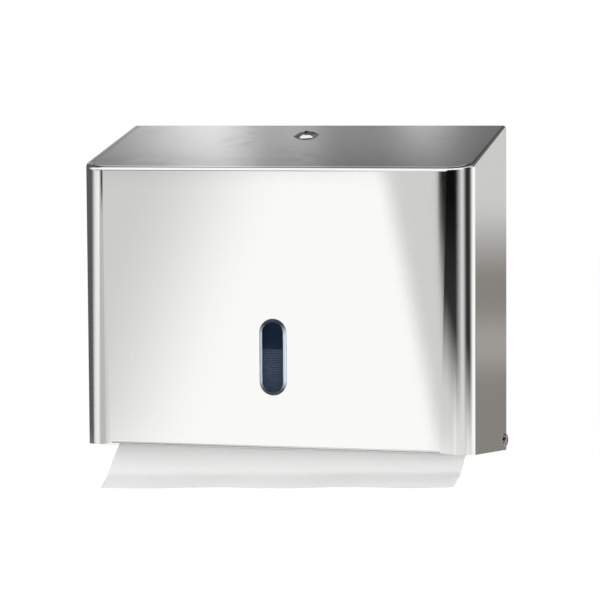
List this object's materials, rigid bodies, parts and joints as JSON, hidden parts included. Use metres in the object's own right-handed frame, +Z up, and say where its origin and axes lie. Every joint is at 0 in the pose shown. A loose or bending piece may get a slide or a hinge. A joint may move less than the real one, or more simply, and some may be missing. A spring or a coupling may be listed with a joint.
{
  "type": "paper towel dispenser",
  "caption": "Wall-mounted dispenser for folded paper towels: polished steel cover with rounded corners, sloping locked top and level window, hinged low at the rear to tip forward for refilling",
  "frame": {"origin": "centre of the rectangle of wall holes, in the plane of the wall", "axes": "+Z up, -Y out of the wall towards the user, +Y into the wall, +X to the right seen from the front"},
  "size_m": [0.2794, 0.123, 0.2483],
  "materials": {
    "polished_steel": "bright polished stainless sheet, mirror-like on the front",
    "satin_steel": "stainless sheet with a soft satin grain",
    "chassis_steel": "mill-finish stainless sheet",
    "rivet_steel": "plain drawn steel",
    "lock_chrome": "bright chrome plate",
    "smoked_acrylic": "clear smoked acrylic, polished",
    "nylon": "natural nylon",
    "black_rubber": "moulded rubber",
    "towel_paper": "soft white crepe tissue"
  },
  "bodies": {
    "chassis": {"back_plate": "chassis_steel", "left_cheek": "chassis_steel", "right_cheek": "chassis_steel", "rear_ledge": "chassis_steel", "front_ledge": "chassis_steel", "strike_bracket": "chassis_steel", "cheek_rivets": "rivet_steel", "ledge_rivets": "rivet_steel", "strike_rivets": "rivet_steel", "rubber_buffers": "black_rubber", "left_hinge_pin": "rivet_steel", "right_hinge_pin": "rivet_steel", "left_hinge_spacer": "nylon", "right_hinge_spacer": "nylon", "towel_stack": "towel_paper", "hanging_towel": "towel_paper"},
    "cover": {"cover_shell": "polished_steel", "cover_top": "satin_steel", "window_lens": "smoked_acrylic", "window_retainer": "chassis_steel", "window_studs": "rivet_steel", "push_nuts": "rivet_steel", "left_hinge_doubler": "chassis_steel", "right_hinge_doubler": "chassis_steel", "lock_barrel": "lock_chrome", "lock_nut": "lock_chrome"},
    "lock": {"lock_plug": "lock_chrome", "lock_cam": "chassis_steel", "cam_screw": "rivet_steel"}
  },
  "joints": [
    {"name": "cover_hinge", "type": "hinge", "parent": "chassis", "child": "cover", "pos_m": [0, -0.009, -0.1068], "axis": [1, 0, 0], "range_deg": [0, 90], "deforming": ["hanging_towel"]},
    {"name": "lock_turn", "type": "hinge", "parent": "cover", "child": "lock", "pos_m": [0, -0.032, 0.10834], "axis": [0, 0.2147, -0.9767], "range_deg": [0, 90]}
  ]
}
